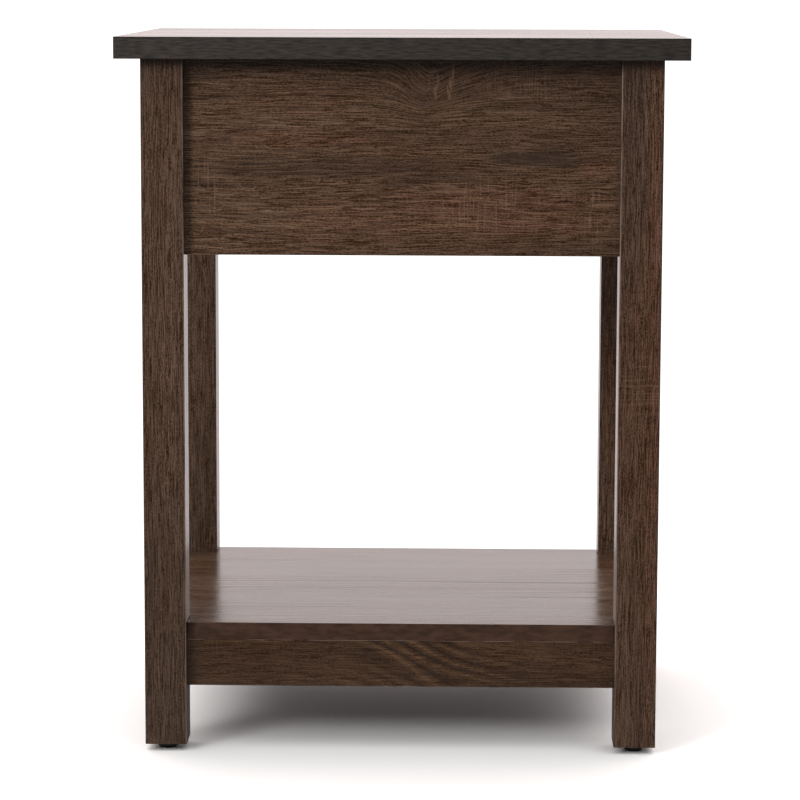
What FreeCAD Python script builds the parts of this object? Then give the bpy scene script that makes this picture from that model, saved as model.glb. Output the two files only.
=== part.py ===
import FreeCAD, Part
import math
import os

# Nightstand with one drawer over an open shelf, in millimetres with +Z up.
# The drawer faces -Y, left is -X, and the origin is on the floor under the middle of the top.

Vector = FreeCAD.Vector
X_AXIS = Vector(1, 0, 0)
Y_AXIS = Vector(0, 1, 0)
Z_AXIS = Vector(0, 0, 1)
SIDES = {"left": -1, "right": 1}
ENDS = {"front": -1, "back": 1}

# Top board and its reach past the legs
HEIGHT = 600.0
TOP_WIDTH = 470.0
TOP_DEPTH = 400.0
TOP_THICKNESS = 18.0
SIDE_OVERHANG = 20.0
FRONT_OVERHANG = 17.0

# Edge bands glued round the top and the shelf
BAND_THICKNESS = 1.0
BAND_ARRIS = 0.4

# Square legs on nail-on glides
LEG_SECTION = 35.0
LEG_ARRIS = 1.0
GLIDE_DIAMETER = 16.0
GLIDE_HEIGHT = 6.0
GLIDE_ROUND = 2.0
NAIL_DIAMETER = 2.2
NAIL_BITE = 14.0
NAIL_HEAD_DIAMETER = 7.0
NAIL_HEAD_THICKNESS = 1.2

# Case boards: the inset is from the outer faces of the legs to the back panel, rails and drawer front
BOARD = 15.0
PANEL_INSET = 10.0
CASE_HEIGHT = 162.0
RAIL_FLOOR_GAP = 55.0
RAIL_HEIGHT = 39.0
NOTCH_GAP = 0.5

# Drawer box, its front and its bottom
DRAWER_SIDE_GAP = 2.5
DRAWER_TOP_GAP = 3.0
BOX_BOARD = 12.0
BOX_HEIGHT = 110.0
BOX_LIFT = 12.0
BOX_BACK_ROOM = 16.0
BOX_EDGE_ROUND = 2.5
BOTTOM_THICKNESS = 3.0
GROOVE_DEPTH = 5.0
GROOVE_LIFT = 10.0
GROOVE_SLACK = 0.2

# Turned knob and its screw
KNOB_DIAMETER = 30.0
KNOB_BASE_DIAMETER = 16.0
KNOB_NECK_DIAMETER = 12.4
KNOB_NECK_HEIGHT = 6.0
KNOB_RIM_HEIGHT = 16.0
KNOB_RIM_THICKNESS = 3.0
KNOB_PROJECTION = 26.0
KNOB_SCREW_DIAMETER = 4.0
KNOB_SCREW_BITE = 10.0
KNOB_SCREW_HEAD_DIAMETER = 8.0
KNOB_SCREW_HEAD_HEIGHT = 2.4

# Roller runners of bent sheet steel, a case member and a drawer member on each side
RUNNER_SPACE = 12.5
RUNNER_FRONT_ROOM = 2.0
RUNNER_BACK_ROOM = 14.0
RUNNER_OVERLAP = 75.0
SHEET = 1.2
DRAWER_RUNNER_HEIGHT = 16.0
DRAWER_RUNNER_LIP = 9.0
DRAWER_RUNNER_TAIL = 8.0
FLANGE_GAP = 1.3
LIP_GAP = 1.8
HEAD_ROOM = 2.0
LUG_HEIGHT = 4.0
LIFT_OUT_REACH = 5.0
RUNNER_SLOT_WIDTH = 3.6
RUNNER_SLOT_LENGTH = 10.0
RUNNER_SLOT_STEP = 16.0

# Nylon rollers on riveted pins
ROLLER_DIAMETER = 20.0
ROLLER_WIDTH = 6.0
ROLLER_ROUND = 0.8
ROLLER_END_ROOM = 1.0
PIN_DIAMETER = 5.0
PIN_HEAD_DIAMETER = 8.0
PIN_HEAD_THICKNESS = 1.0

# Dowels: length in the end of one board and in the face of the other
DOWEL_DIAMETER = 8.0
DOWEL_IN_EDGE = 20.0
DOWEL_IN_FACE = 10.0
HOLE_END_ROOM = 1.0

# Cam fittings: a bolt screwed into one board and a cam that draws it into the end of the other
CAM_DIAMETER = 15.0
CAM_SETBACK = 24.0
CAM_BELOW_BOLT = 4.7
CAM_SLOT_LENGTH = 7.0
CAM_SLOT_WIDTH = 1.4
CAM_SLOT_DEPTH = 1.5
BOLT_BITE = 10.0
BOLT_THREAD_DIAMETER = 6.0
BOLT_COLLAR_DIAMETER = 7.6
BOLT_COLLAR_LENGTH = 2.0
BOLT_SHANK_DIAMETER = 5.6
BOLT_NECK_DIAMETER = 4.0
BOLT_NECK_LENGTH = 5.0
BOLT_HEAD_DIAMETER = 6.4
BOLT_HEAD_LENGTH = 4.0

# Countersunk screws: diameter, head diameter, length
RUNNER_SCREW = (3.2, 6.4, 11.0)
BACK_SCREW = (5.0, 8.6, 40.0)
BOTTOM_SCREW = (3.0, 6.0, 16.0)

# Places of the fasteners, from the ends of their boards
PANEL_DOWEL_SPREAD = 50.0
PANEL_STAGGER = 8.0
TOP_CAM_FROM_END = 68.0
SHELF_CAM_FROM_END = 78.0
SHELF_DOWEL_FROM_END = 80.0
DRAWER_CAM_SPREAD = 25.0
BACK_SCREW_FROM_EDGE = 22.0
BOTTOM_SCREW_FROM_END = 30.0
RUNNER_SCREW_FROM_FRONT = 40.0
RUNNER_SCREW_FROM_BACK = 30.0
DRAWER_RUNNER_SCREW_LIFT = 5.0

# Clearances round pieces in their holes, round the pins, and between pieces that run past each other
HOLE_FIT = 0.1
PIN_FIT = 0.1
RUNNING_GAP = 0.3

# Planes of the case worked out from these sizes
top_under = HEIGHT - TOP_THICKNESS
leg_outer_x = TOP_WIDTH / 2 - SIDE_OVERHANG
leg_outer_y = TOP_DEPTH / 2 - FRONT_OVERHANG
leg_inner_x = leg_outer_x - LEG_SECTION
leg_inner_y = leg_outer_y - LEG_SECTION
panel_outer_x = leg_outer_x - PANEL_INSET
panel_outer_y = leg_outer_y - PANEL_INSET
panel_inner_y = panel_outer_y - BOARD
rail_mid_x = panel_outer_x - BOARD / 2
rail_mid_y = panel_outer_y - BOARD / 2
side_mid_x = leg_inner_x + BOARD / 2
case_bottom = top_under - CASE_HEIGHT
case_middle = (case_bottom + top_under) / 2
shelf_under = RAIL_FLOOR_GAP + RAIL_HEIGHT
shelf_top = shelf_under + BOARD

# Planes of the drawer
front_face_y = -panel_outer_y
front_rear_y = front_face_y + BOARD
front_top = top_under - DRAWER_TOP_GAP
front_half = leg_inner_x - DRAWER_SIDE_GAP
box_outer_x = leg_inner_x - RUNNER_SPACE
box_inner_x = box_outer_x - BOX_BOARD
box_back_y = panel_inner_y - BOX_BACK_ROOM
box_bottom = case_bottom + BOX_LIFT
box_top = box_bottom + BOX_HEIGHT
box_middle = (box_bottom + box_top) / 2
groove_bottom = box_bottom + GROOVE_LIFT
groove_top = groove_bottom + BOTTOM_THICKNESS + GROOVE_SLACK
bottom_top = groove_bottom + BOTTOM_THICKNESS
knob_height = (case_bottom + front_top) / 2

# Planes of the runners on the right-hand side
roller_radius = ROLLER_DIAMETER / 2
web_inner_x = leg_inner_x - SHEET
wall_outer_x = box_outer_x + SHEET
flange_outer_x = web_inner_x - FLANGE_GAP
lip_inner_x = wall_outer_x + LIP_GAP
flange_top = box_bottom + DRAWER_RUNNER_HEIGHT
roller_height = flange_top - SHEET - RUNNING_GAP - roller_radius
track_top = roller_height - roller_radius - RUNNING_GAP
channel_bottom = track_top - SHEET
channel_top = flange_top + HEAD_ROOM + SHEET
runner_front_y = front_rear_y + RUNNER_FRONT_ROOM
runner_back_y = panel_inner_y - RUNNER_BACK_ROOM
case_roller_y = runner_front_y + ROLLER_END_ROOM + roller_radius
drawer_roller_y = runner_back_y - SHEET - RUNNING_GAP - roller_radius
drawer_runner_back_y = drawer_roller_y + DRAWER_RUNNER_TAIL
travel = runner_back_y - runner_front_y - RUNNER_OVERLAP


def block(x_range, y_range, z_range):
    """Box between two values on each axis, in either order."""
    spans = [sorted(values) for values in (x_range, y_range, z_range)]
    corner = Vector(*[low for low, high in spans])
    return Part.makeBox(*[high - low for low, high in spans], corner)


def rod(diameter, start, direction, length):
    """Round bar from a point along a direction."""
    return Part.makeCylinder(diameter / 2, length, start, direction)


def turned(edges, base, direction):
    """Solid turned from edges drawn as (radius, 0, height), with its axis set on a base point."""
    face = Part.Face(Part.Wire(edges))
    solid = face.revolve(Vector(), Z_AXIS, 360)
    solid.Placement = FreeCAD.Placement(base, FreeCAD.Rotation(Z_AXIS, direction))
    return solid


def outline(points):
    """Straight edges through (radius, height) points and back to the first."""
    corners = [Vector(radius, 0, height) for radius, height in points]
    return Part.makePolygon(corners + corners[:1]).Edges


def rounded(solid, radius, wanted):
    """Solid with a fillet on the edges that the test picks."""
    return solid.makeFillet(radius, [edge for edge in solid.Edges if wanted(edge)])


def runs_along(edge, axis):
    """True for an edge parallel to an axis."""
    return abs(edge.tangentAt(edge.FirstParameter).dot(axis)) > 0.999


def cut_by(board, cutters):
    """Board less every cutter that reaches it."""
    tools = [cutter for cutter in cutters if cutter.BoundBox.intersect(board.BoundBox)]
    if not tools:
        return board
    return board.cut(tools).Solids[0]


def mirrored(shape, side):
    """Shape made for the right-hand side, or its mirror image for the left."""
    return shape if side > 0 else shape.mirror(Vector(), X_AXIS)


# Fasteners. Each stands on a point of the meeting faces, and "into" points into the face-drilled board.

def dowel(point, into):
    return rod(DOWEL_DIAMETER, point - into * DOWEL_IN_EDGE, into, DOWEL_IN_EDGE + DOWEL_IN_FACE)


def dowel_hole(point, into):
    start = point - into * (DOWEL_IN_EDGE + HOLE_END_ROOM)
    length = DOWEL_IN_EDGE + DOWEL_IN_FACE + 2 * HOLE_END_ROOM
    return rod(DOWEL_DIAMETER + 2 * HOLE_FIT, start, into, length)


def cam_bolt(point, into):
    """Bolt with a threaded end, a collar on the board's face, a shank, a neck and a head for the cam."""
    collar_end = BOLT_BITE + BOLT_COLLAR_LENGTH
    head_start = BOLT_BITE + CAM_SETBACK - BOLT_HEAD_LENGTH / 2
    neck_start = head_start - BOLT_NECK_LENGTH
    head_end = head_start + BOLT_HEAD_LENGTH
    steps = [
        (BOLT_THREAD_DIAMETER / 2, 0, BOLT_BITE),
        (BOLT_COLLAR_DIAMETER / 2, BOLT_BITE, collar_end),
        (BOLT_SHANK_DIAMETER / 2, collar_end, neck_start),
        (BOLT_NECK_DIAMETER / 2, neck_start, head_start),
        (BOLT_HEAD_DIAMETER / 2, head_start, head_end),
    ]
    points = [(0, 0)]
    for radius, low, high in steps:
        points += [(radius, low), (radius, high)]
    points.append((0, head_end))
    return turned(outline(points), point + into * BOLT_BITE, -into)


def cam_lock(point, into, face, board):
    """Cam drum flush with the board's face, open on the bolt's side, with a crossed driver slot."""
    centre = point - into * CAM_SETBACK
    mouth = centre + face * (board / 2)
    drum = rod(CAM_DIAMETER, mouth, -face, board / 2 + CAM_BELOW_BOLT)
    throat_end = BOLT_HEAD_LENGTH / 2 + HOLE_FIT
    throat_width = BOLT_HEAD_DIAMETER + 2 * RUNNING_GAP
    throat = rod(throat_width, centre - into * throat_end, into, throat_end + CAM_DIAMETER)
    across = face.cross(into)
    slots = []
    for along, wide in ((into, across), (across, into)):
        corner = mouth - along * (CAM_SLOT_LENGTH / 2) - wide * (CAM_SLOT_WIDTH / 2)
        rim = [corner, corner + along * CAM_SLOT_LENGTH]
        rim += [rim[1] + wide * CAM_SLOT_WIDTH, corner + wide * CAM_SLOT_WIDTH, corner]
        slots.append(Part.Face(Part.makePolygon(rim)).extrude(-face * CAM_SLOT_DEPTH))
    return drum.cut([throat] + slots).Solids[0]


def cam_holes(point, into, face, board):
    """Pocket for the cam and bore for its bolt in one board, and the bolt's pilot hole in the other."""
    centre = point - into * CAM_SETBACK
    depth = board / 2 + CAM_BELOW_BOLT + HOLE_FIT
    pocket = rod(CAM_DIAMETER + 2 * HOLE_FIT, centre + face * (board / 2), -face, depth)
    bore = rod(BOLT_COLLAR_DIAMETER + 2 * HOLE_FIT, centre, into, CAM_SETBACK)
    pilot = rod(BOLT_THREAD_DIAMETER + 2 * HOLE_FIT, point, into, BOLT_BITE + HOLE_END_ROOM)
    return [pocket, bore, pilot]


def countersunk(point, into, sizes, room=0.0):
    """Countersunk screw from a surface point, or with some room the hole that it needs."""
    diameter, head_diameter, length = sizes
    shank = diameter / 2 + room
    cone = (head_diameter - diameter) / 2
    points = [(0, 0), (shank + cone, 0), (shank, cone), (shank, length + room), (0, length + room)]
    return turned(outline(points), point, into)


def case_dowel_spots():
    """Meeting point and direction of each dowel in the case."""
    spots = []
    for sx in SIDES.values():
        out_x = X_AXIS * sx
        for step in (-1, 1):
            height = case_middle + PANEL_STAGGER + step * PANEL_DOWEL_SPREAD
            spots.append((Vector(sx * leg_inner_x, rail_mid_y, height), out_x))
        for sy in ENDS.values():
            out_y = Y_AXIS * sy
            for step in (-1, 1):
                height = case_middle - PANEL_STAGGER + step * PANEL_DOWEL_SPREAD
                spots.append((Vector(sx * side_mid_x, sy * leg_inner_y, height), out_y))
            rail_dowel = RAIL_FLOOR_GAP + RAIL_HEIGHT * 3 / 4
            spots.append((Vector(sx * leg_inner_x, sy * rail_mid_y, rail_dowel), out_x))
            spots.append((Vector(sx * rail_mid_x, sy * leg_inner_y, rail_dowel), out_y))
            leg_middle = (sx * (leg_outer_x - LEG_SECTION / 2), sy * (leg_outer_y - LEG_SECTION / 2))
            spots.append((Vector(*leg_middle, top_under), Z_AXIS))
            shelf_dowel_x = sx * (leg_inner_x - SHELF_DOWEL_FROM_END)
            spots.append((Vector(shelf_dowel_x, sy * rail_mid_y, shelf_under), Z_AXIS))
    return spots


def case_cam_spots():
    """Meeting point, bolt direction, face of the cam and board thickness of each cam fitting in the case."""
    spots = []
    for sx in SIDES.values():
        out_x = X_AXIS * sx
        back_height = case_middle + PANEL_STAGGER
        spots.append((Vector(sx * leg_inner_x, rail_mid_y, back_height), out_x, -Y_AXIS, BOARD))
        top_cam_x = sx * (leg_inner_x - TOP_CAM_FROM_END)
        spots.append((Vector(top_cam_x, rail_mid_y, top_under), Z_AXIS, -Y_AXIS, BOARD))
        for sy in ENDS.values():
            out_y = Y_AXIS * sy
            side_height = case_middle - PANEL_STAGGER
            spots.append((Vector(sx * side_mid_x, sy * leg_inner_y, side_height), out_y, -out_x, BOARD))
            top_cam_y = sy * (leg_inner_y - TOP_CAM_FROM_END)
            spots.append((Vector(sx * side_mid_x, top_cam_y, top_under), Z_AXIS, -out_x, BOARD))
            rail_cam = RAIL_FLOOR_GAP + RAIL_HEIGHT / 3
            spots.append((Vector(sx * leg_inner_x, sy * rail_mid_y, rail_cam), out_x, -out_y, BOARD))
            spots.append((Vector(sx * rail_mid_x, sy * leg_inner_y, rail_cam), out_y, -out_x, BOARD))
            shelf_cam_y = sy * (leg_inner_y - SHELF_CAM_FROM_END)
            spots.append((Vector(sx * rail_mid_x, shelf_cam_y, shelf_under), Z_AXIS, -out_x, BOARD))
    return spots


def drawer_dowel_spots():
    """One dowel in the front end of each drawer side."""
    x = box_outer_x - BOX_BOARD / 2
    return [(Vector(sx * x, front_rear_y, box_middle), -Y_AXIS) for sx in SIDES.values()]


def drawer_cam_spots():
    """Two cam fittings in the front end of each drawer side, with the cams on its outer face."""
    spots = []
    for sx in SIDES.values():
        for step in (-1, 1):
            height = box_middle + step * DRAWER_CAM_SPREAD
            point = Vector(sx * (box_outer_x - BOX_BOARD / 2), front_rear_y, height)
            spots.append((point, -Y_AXIS, X_AXIS * sx, BOX_BOARD))
    return spots


def back_screw_spots():
    """Screws through the drawer sides into the ends of the drawer back."""
    heights = (bottom_top + BACK_SCREW_FROM_EDGE, box_top - BACK_SCREW_FROM_EDGE)
    y = box_back_y - BOX_BOARD / 2
    return [(Vector(sx * box_outer_x, y, z), X_AXIS * -sx) for sx in SIDES.values() for z in heights]


def bottom_screw_spots():
    """Screws up through the drawer bottom into the lower edge of the drawer back."""
    reach = box_inner_x - BOTTOM_SCREW_FROM_END
    y = box_back_y - BOX_BOARD / 2
    return [(Vector(x, y, groove_bottom), Z_AXIS) for x in (-reach, 0, reach)]


def runner_screw_rows():
    """Three places along a runner."""
    first = runner_front_y + RUNNER_SCREW_FROM_FRONT
    last = runner_back_y - RUNNER_SCREW_FROM_BACK
    return first, (first + last) / 2, last


def case_runner_screw_spots():
    """Screws through the web of each case runner into the side panel."""
    rows = runner_screw_rows()
    return [(Vector(sx * web_inner_x, y, roller_height), X_AXIS * sx) for sx in SIDES.values() for y in rows]


def drawer_runner_screw_spots():
    """Screws through the wall of each drawer runner into the drawer side."""
    rows = runner_screw_rows()
    z = box_bottom + DRAWER_RUNNER_SCREW_LIFT
    return [(Vector(sx * wall_outer_x, y, z), X_AXIS * -sx) for sx in SIDES.values() for y in rows]


# Case

def edge_band(x_range, y_range, z_range, outward):
    """Edge band with eased outer edges. It runs across the direction that it faces."""
    band = block(x_range, y_range, z_range)
    length = outward.cross(Z_AXIS)
    face = max(vertex.Point.dot(outward) for vertex in band.Vertexes)

    def outer_edge(edge):
        return runs_along(edge, length) and abs(edge.CenterOfMass.dot(outward) - face) < BAND_ARRIS

    return rounded(band, BAND_ARRIS, outer_edge)


def banded_edges(name, outer_x, outer_y, long_x, long_y, z_range):
    """The four bands of a board: front and back reach to long_x each way, left and right to long_y."""
    bands = {}
    for side, sx in SIDES.items():
        span = (sx * (outer_x - BAND_THICKNESS), sx * outer_x)
        bands[f"{name}_band_{side}"] = edge_band(span, (-long_y, long_y), z_range, X_AXIS * sx)
    for end, sy in ENDS.items():
        span = (sy * (outer_y - BAND_THICKNESS), sy * outer_y)
        bands[f"{name}_band_{end}"] = edge_band((-long_x, long_x), span, z_range, Y_AXIS * sy)
    return bands


def top_board():
    half_x = TOP_WIDTH / 2 - BAND_THICKNESS
    half_y = TOP_DEPTH / 2 - BAND_THICKNESS
    return block((-half_x, half_x), (-half_y, half_y), (top_under, HEIGHT))


def leg(sx, sy):
    x_range = (sx * leg_inner_x, sx * leg_outer_x)
    y_range = (sy * leg_inner_y, sy * leg_outer_y)
    post = block(x_range, y_range, (GLIDE_HEIGHT, top_under))
    return rounded(post, LEG_ARRIS, lambda edge: runs_along(edge, Z_AXIS))


def leg_foot(sx, sy):
    """Middle of a leg's lower end."""
    return Vector(sx * (leg_outer_x - LEG_SECTION / 2), sy * (leg_outer_y - LEG_SECTION / 2), GLIDE_HEIGHT)


def glide(sx, sy):
    """Plastic disc with a rounded rim, moulded round the nail's head."""
    foot = leg_foot(sx, sy)
    disc = rod(GLIDE_DIAMETER, foot, -Z_AXIS, GLIDE_HEIGHT)
    disc = rounded(disc, GLIDE_ROUND, lambda edge: edge.Curve.TypeId == "Part::GeomCircle"
                   and edge.CenterOfMass.z < GLIDE_HEIGHT / 2)
    recess = rod(NAIL_HEAD_DIAMETER + 2 * HOLE_FIT, foot, -Z_AXIS, NAIL_HEAD_THICKNESS + HOLE_FIT)
    return disc.cut(recess).Solids[0]


def glide_nail(sx, sy, room=0.0):
    """Nail up into the leg, with its head in the glide, or with some room the hole that it needs."""
    head = NAIL_HEAD_DIAMETER / 2
    shank = NAIL_DIAMETER / 2 + room
    length = NAIL_HEAD_THICKNESS + NAIL_BITE + room
    over_head = NAIL_HEAD_THICKNESS
    points = [(0, 0), (head, 0), (head, over_head), (shank, over_head), (shank, length), (0, length)]
    return turned(outline(points), leg_foot(sx, sy) - Z_AXIS * NAIL_HEAD_THICKNESS, Z_AXIS)


def back_panel():
    return block((-leg_inner_x, leg_inner_x), (panel_inner_y, panel_outer_y), (case_bottom, top_under))


def side_panel(sx):
    """Side of the drawer case, flush with the inner faces of the legs."""
    x_range = (sx * leg_inner_x, sx * (leg_inner_x + BOARD))
    return block(x_range, (-leg_inner_y, leg_inner_y), (case_bottom, top_under))


def end_rail(sy):
    y_range = (sy * panel_inner_y, sy * panel_outer_y)
    return block((-leg_inner_x, leg_inner_x), y_range, (RAIL_FLOOR_GAP, shelf_under))


def side_rail(sx):
    x_range = (sx * (panel_outer_x - BOARD), sx * panel_outer_x)
    return block(x_range, (-leg_inner_y, leg_inner_y), (RAIL_FLOOR_GAP, shelf_under))


def shelf_board():
    """Shelf on the rails, notched round the four legs."""
    half_x = panel_outer_x - BAND_THICKNESS
    half_y = panel_outer_y - BAND_THICKNESS
    board = block((-half_x, half_x), (-half_y, half_y), (shelf_under, shelf_top))
    notches = []
    for sx in SIDES.values():
        for sy in ENDS.values():
            x_range = (sx * (leg_inner_x - NOTCH_GAP), sx * leg_outer_x)
            y_range = (sy * (leg_inner_y - NOTCH_GAP), sy * leg_outer_y)
            notches.append(block(x_range, y_range, (shelf_under, shelf_top)))
    return board.cut(notches).Solids[0]


# Drawer

def drawer_front():
    """Drawer front with the groove for the bottom and the hole for the knob's screw."""
    board = block((-front_half, front_half), (front_face_y, front_rear_y), (case_bottom, front_top))
    groove_half = box_inner_x + GROOVE_DEPTH
    groove_y = (front_rear_y - GROOVE_DEPTH, front_rear_y)
    groove = block((-groove_half, groove_half), groove_y, (groove_bottom, groove_top))
    screw_hole = rod(KNOB_SCREW_DIAMETER + 2 * HOLE_FIT, Vector(0, front_face_y, knob_height), Y_AXIS, BOARD)
    return board.cut([groove, screw_hole]).Solids[0]


def soft_topped(board, length):
    """Board of the drawer box with its two long top edges rounded."""
    return rounded(board, BOX_EDGE_ROUND, lambda edge: runs_along(edge, length)
                   and edge.CenterOfMass.z > box_top - BOX_EDGE_ROUND)


def drawer_side(sx):
    board = block((sx * box_inner_x, sx * box_outer_x), (front_rear_y, box_back_y), (box_bottom, box_top))
    groove_x = (sx * box_inner_x, sx * (box_inner_x + GROOVE_DEPTH))
    groove = block(groove_x, (front_rear_y, box_back_y), (groove_bottom, groove_top))
    return soft_topped(board.cut(groove).Solids[0], Y_AXIS)


def drawer_back():
    board = block((-box_inner_x, box_inner_x), (box_back_y - BOX_BOARD, box_back_y), (bottom_top, box_top))
    return soft_topped(board, X_AXIS)


def drawer_bottom():
    """Thin board held in the grooves of the front and sides, under the drawer back."""
    reach = GROOVE_DEPTH - GROOVE_SLACK
    half_x = box_inner_x + reach
    return block((-half_x, half_x), (front_rear_y - reach, box_back_y), (groove_bottom, bottom_top))


def drawer_knob():
    """Turned knob with a flared neck and a domed face, tapped for its screw."""
    base = KNOB_BASE_DIAMETER / 2
    rim = KNOB_DIAMETER / 2
    rim_top = KNOB_RIM_HEIGHT + KNOB_RIM_THICKNESS
    start = Vector(0, 0, 0)
    foot = Vector(base, 0, 0)
    neck = Vector(KNOB_NECK_DIAMETER / 2, 0, KNOB_NECK_HEIGHT)
    rim_low = Vector(rim, 0, KNOB_RIM_HEIGHT)
    rim_high = Vector(rim, 0, rim_top)
    crown = Vector(0, 0, KNOB_PROJECTION)
    rise = KNOB_PROJECTION - rim_top
    dome_radius = (rim * rim + rise * rise) / (2 * rise)
    half_angle = math.asin(rim / dome_radius) / 2
    dome_centre = KNOB_PROJECTION - dome_radius
    dome = Vector(dome_radius * math.sin(half_angle), 0, dome_centre + dome_radius * math.cos(half_angle))
    edges = [
        Part.LineSegment(start, foot),
        Part.Arc(foot, neck, rim_low),
        Part.LineSegment(rim_low, rim_high),
        Part.Arc(rim_high, dome, crown),
        Part.LineSegment(crown, start),
    ]
    seat = Vector(0, front_face_y, knob_height)
    knob = turned([edge.toShape() for edge in edges], seat, -Y_AXIS)
    tapped = rod(KNOB_SCREW_DIAMETER + 2 * HOLE_FIT, seat, -Y_AXIS, KNOB_SCREW_BITE + HOLE_END_ROOM)
    return knob.cut(tapped).Solids[0]


def knob_screw():
    """Machine screw from inside the drawer, through its front into the knob."""
    head = KNOB_SCREW_HEAD_DIAMETER / 2
    shank = KNOB_SCREW_DIAMETER / 2
    length = KNOB_SCREW_HEAD_HEIGHT + BOARD + KNOB_SCREW_BITE
    under_head = KNOB_SCREW_HEAD_HEIGHT
    points = [(0, 0), (head, 0), (head, under_head), (shank, under_head), (shank, length), (0, length)]
    return turned(outline(points), Vector(0, front_rear_y + KNOB_SCREW_HEAD_HEIGHT, knob_height), -Y_AXIS)


# Runners, modelled for the right-hand side

def bent_strip(points, y_range, bends):
    """Sheet profile of (x, z) points drawn out along the runner, with its outer bends rounded."""
    front, back = y_range
    corners = [Vector(x, front, z) for x, z in points]
    strip = Part.Face(Part.makePolygon(corners + corners[:1])).extrude(Y_AXIS * (back - front))

    def is_bend(edge):
        middle = edge.CenterOfMass
        near = [abs(middle.x - x) + abs(middle.z - z) < SHEET / 2 for x, z in bends]
        return runs_along(edge, Y_AXIS) and any(near)

    return rounded(strip, SHEET, is_bend)


def roller_pin_hole(x, y):
    """Hole through the sheet for a roller's pin."""
    return rod(PIN_DIAMETER + 2 * HOLE_FIT, Vector(x, y, roller_height), X_AXIS, SHEET)


def adjusting_slots(x, z):
    """Oblong holes through the sheet beside the screws, for shifting the runner before it is fixed."""
    radius = RUNNER_SLOT_WIDTH / 2
    reach = RUNNER_SLOT_LENGTH / 2
    straight = reach - radius
    slots = []
    for row in runner_screw_rows():
        y = row - RUNNER_SLOT_STEP
        front_low, front_high = (Vector(x, y - straight, z + side * radius) for side in (-1, 1))
        back_low, back_high = (Vector(x, y + straight, z + side * radius) for side in (-1, 1))
        edges = [
            Part.LineSegment(front_low, back_low),
            Part.Arc(back_low, Vector(x, y + reach, z), back_high),
            Part.LineSegment(back_high, front_high),
            Part.Arc(front_high, Vector(x, y - reach, z), front_low),
        ]
        rim = Part.Wire([edge.toShape() for edge in edges])
        slots.append(Part.Face(rim).extrude(X_AXIS * SHEET))
    return slots


def case_runner():
    """Channel with stop lugs for the drawer's roller, open above the front one for lifting the drawer out."""
    wall = leg_inner_x
    profile = [
        (wall, channel_bottom), (wall, channel_top),
        (lip_inner_x, channel_top), (lip_inner_x, channel_top - SHEET),
        (web_inner_x, channel_top - SHEET), (web_inner_x, track_top),
        (lip_inner_x, track_top), (lip_inner_x, channel_bottom),
    ]
    bends = [(wall, channel_bottom), (wall, channel_top)]
    channel = bent_strip(profile, (runner_front_y, runner_back_y), bends)
    open_stop = drawer_roller_y - travel - roller_radius - RUNNING_GAP
    lug_z = (track_top, track_top + LUG_HEIGHT)
    lugs = []
    for back in (open_stop, runner_back_y):
        lugs.append(block((lip_inner_x, web_inner_x), (back - SHEET, back), lug_z))
    lift_out_y = (runner_front_y, open_stop + LIFT_OUT_REACH)
    opening = block((lip_inner_x, web_inner_x), lift_out_y, (channel_top - SHEET, channel_top))
    cutters = [opening, roller_pin_hole(web_inner_x, case_roller_y)]
    cutters += adjusting_slots(web_inner_x, roller_height)
    return channel.fuse(lugs).removeSplitter().cut(cutters).Solids[0]


def drawer_runner():
    """Angle under the lower edge of the drawer side, with an outward flange that rides on the case roller."""
    profile = [
        (box_outer_x - DRAWER_RUNNER_LIP, box_bottom), (box_outer_x, box_bottom),
        (box_outer_x, flange_top), (flange_outer_x, flange_top),
        (flange_outer_x, flange_top - SHEET), (wall_outer_x, flange_top - SHEET),
        (wall_outer_x, box_bottom - SHEET), (box_outer_x - DRAWER_RUNNER_LIP, box_bottom - SHEET),
    ]
    bends = [(box_outer_x, flange_top), (wall_outer_x, box_bottom - SHEET)]
    angle = bent_strip(profile, (front_rear_y, drawer_runner_back_y), bends)
    cutters = [roller_pin_hole(box_outer_x, drawer_roller_y)]
    cutters += adjusting_slots(box_outer_x, box_bottom + DRAWER_RUNNER_SCREW_LIFT)
    return angle.cut(cutters).Solids[0]


def roller(inner_x, y):
    """Nylon wheel with eased rims, bored for its pin."""
    start = Vector(inner_x, y, roller_height)
    wheel = rod(ROLLER_DIAMETER, start, X_AXIS, ROLLER_WIDTH)
    wheel = rounded(wheel, ROLLER_ROUND, lambda edge: edge.Curve.TypeId == "Part::GeomCircle")
    bore = rod(PIN_DIAMETER + 2 * PIN_FIT, start, X_AXIS, ROLLER_WIDTH)
    return wheel.cut(bore).Solids[0]


def roller_pin(start, direction):
    """Pin riveted through the sheet, with a head that keeps the roller on."""
    pin = PIN_DIAMETER / 2
    head = PIN_HEAD_DIAMETER / 2
    under_head = SHEET + ROLLER_WIDTH + 2 * RUNNING_GAP
    end = under_head + PIN_HEAD_THICKNESS
    points = [(0, 0), (pin, 0), (pin, under_head), (head, under_head), (head, end), (0, end)]
    return turned(outline(points), start, direction)


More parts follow.
